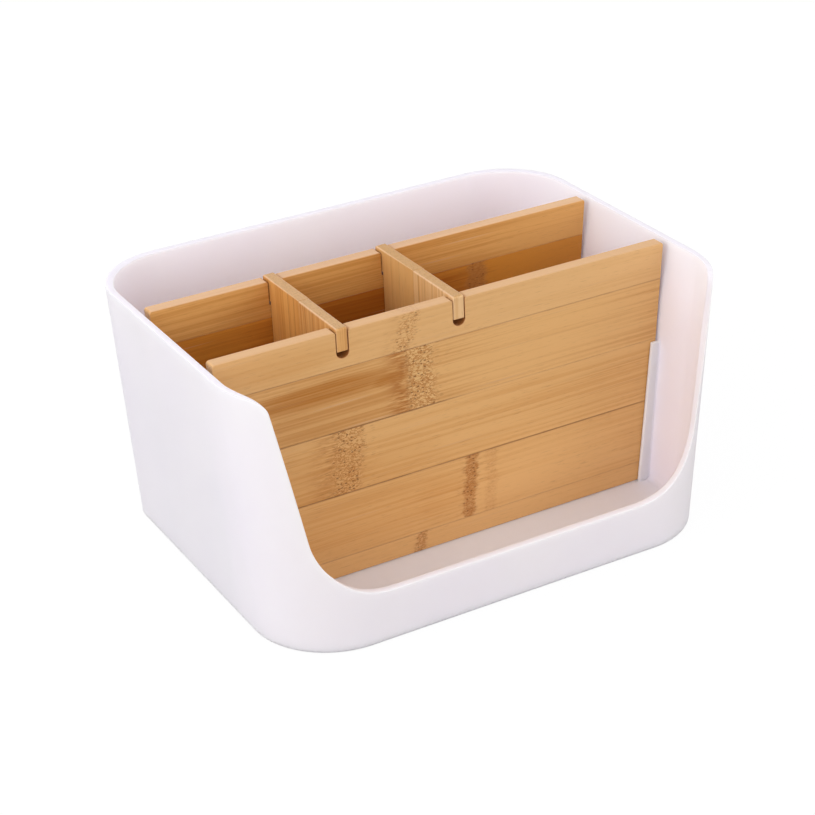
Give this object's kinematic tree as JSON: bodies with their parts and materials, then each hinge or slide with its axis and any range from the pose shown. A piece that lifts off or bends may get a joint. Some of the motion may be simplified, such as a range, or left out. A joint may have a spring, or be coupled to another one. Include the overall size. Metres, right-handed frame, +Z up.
{
  "type": "desk organizer",
  "caption": "Tapered open tub with rounded corners and a low cut-out front, split into upright compartments by lift-out bamboo boards.",
  "frame": {"origin": "on the table, under the centre of the rim", "axes": "+X to the right along the front, +Y from the open front to the back, +Z up"},
  "size_m": [0.25, 0.1904, 0.1292],
  "materials": {
    "tub_plastic": "fine satin moulded plastic, off-white",
    "bamboo_board": "clear oiled bamboo, grain along the board",
    "bamboo_divider": "clear oiled bamboo, grain upright"
  },
  "bodies": {
    "tub": {"tub": "tub_plastic"},
    "front_board": {"front_board_strip_1": "bamboo_board", "front_board_strip_2": "bamboo_board", "front_board_strip_3": "bamboo_board", "front_board_strip_4": "bamboo_board", "front_board_strip_5": "bamboo_board"},
    "rear_board": {"rear_board_strip_1": "bamboo_board", "rear_board_strip_2": "bamboo_board", "rear_board_strip_3": "bamboo_board", "rear_board_strip_4": "bamboo_board", "rear_board_strip_5": "bamboo_board"},
    "left_divider": {"left_divider_front_strip": "bamboo_divider", "left_divider_rear_strip": "bamboo_divider"},
    "right_divider": {"right_divider_front_strip": "bamboo_divider", "right_divider_rear_strip": "bamboo_divider"}
  },
  "joints": [
    {"name": "front_board_lift", "type": "slide", "parent": "tub", "child": "front_board", "axis": [0, 0, 1], "range_m": [0, 0.13]},
    {"name": "rear_board_lift", "type": "slide", "parent": "tub", "child": "rear_board", "axis": [0, 0, 1], "range_m": [0, 0.13]},
    {"name": "left_divider_lift", "type": "slide", "parent": "front_board", "child": "left_divider", "axis": [0, 0, 1], "range_m": [0, 0.13]},
    {"name": "right_divider_lift", "type": "slide", "parent": "front_board", "child": "right_divider", "axis": [0, 0, 1], "range_m": [0, 0.13]}
  ],
  "couplings": [
    {"joint": "rear_board_lift", "follows": "front_board_lift", "ratio": 1}
  ]
}
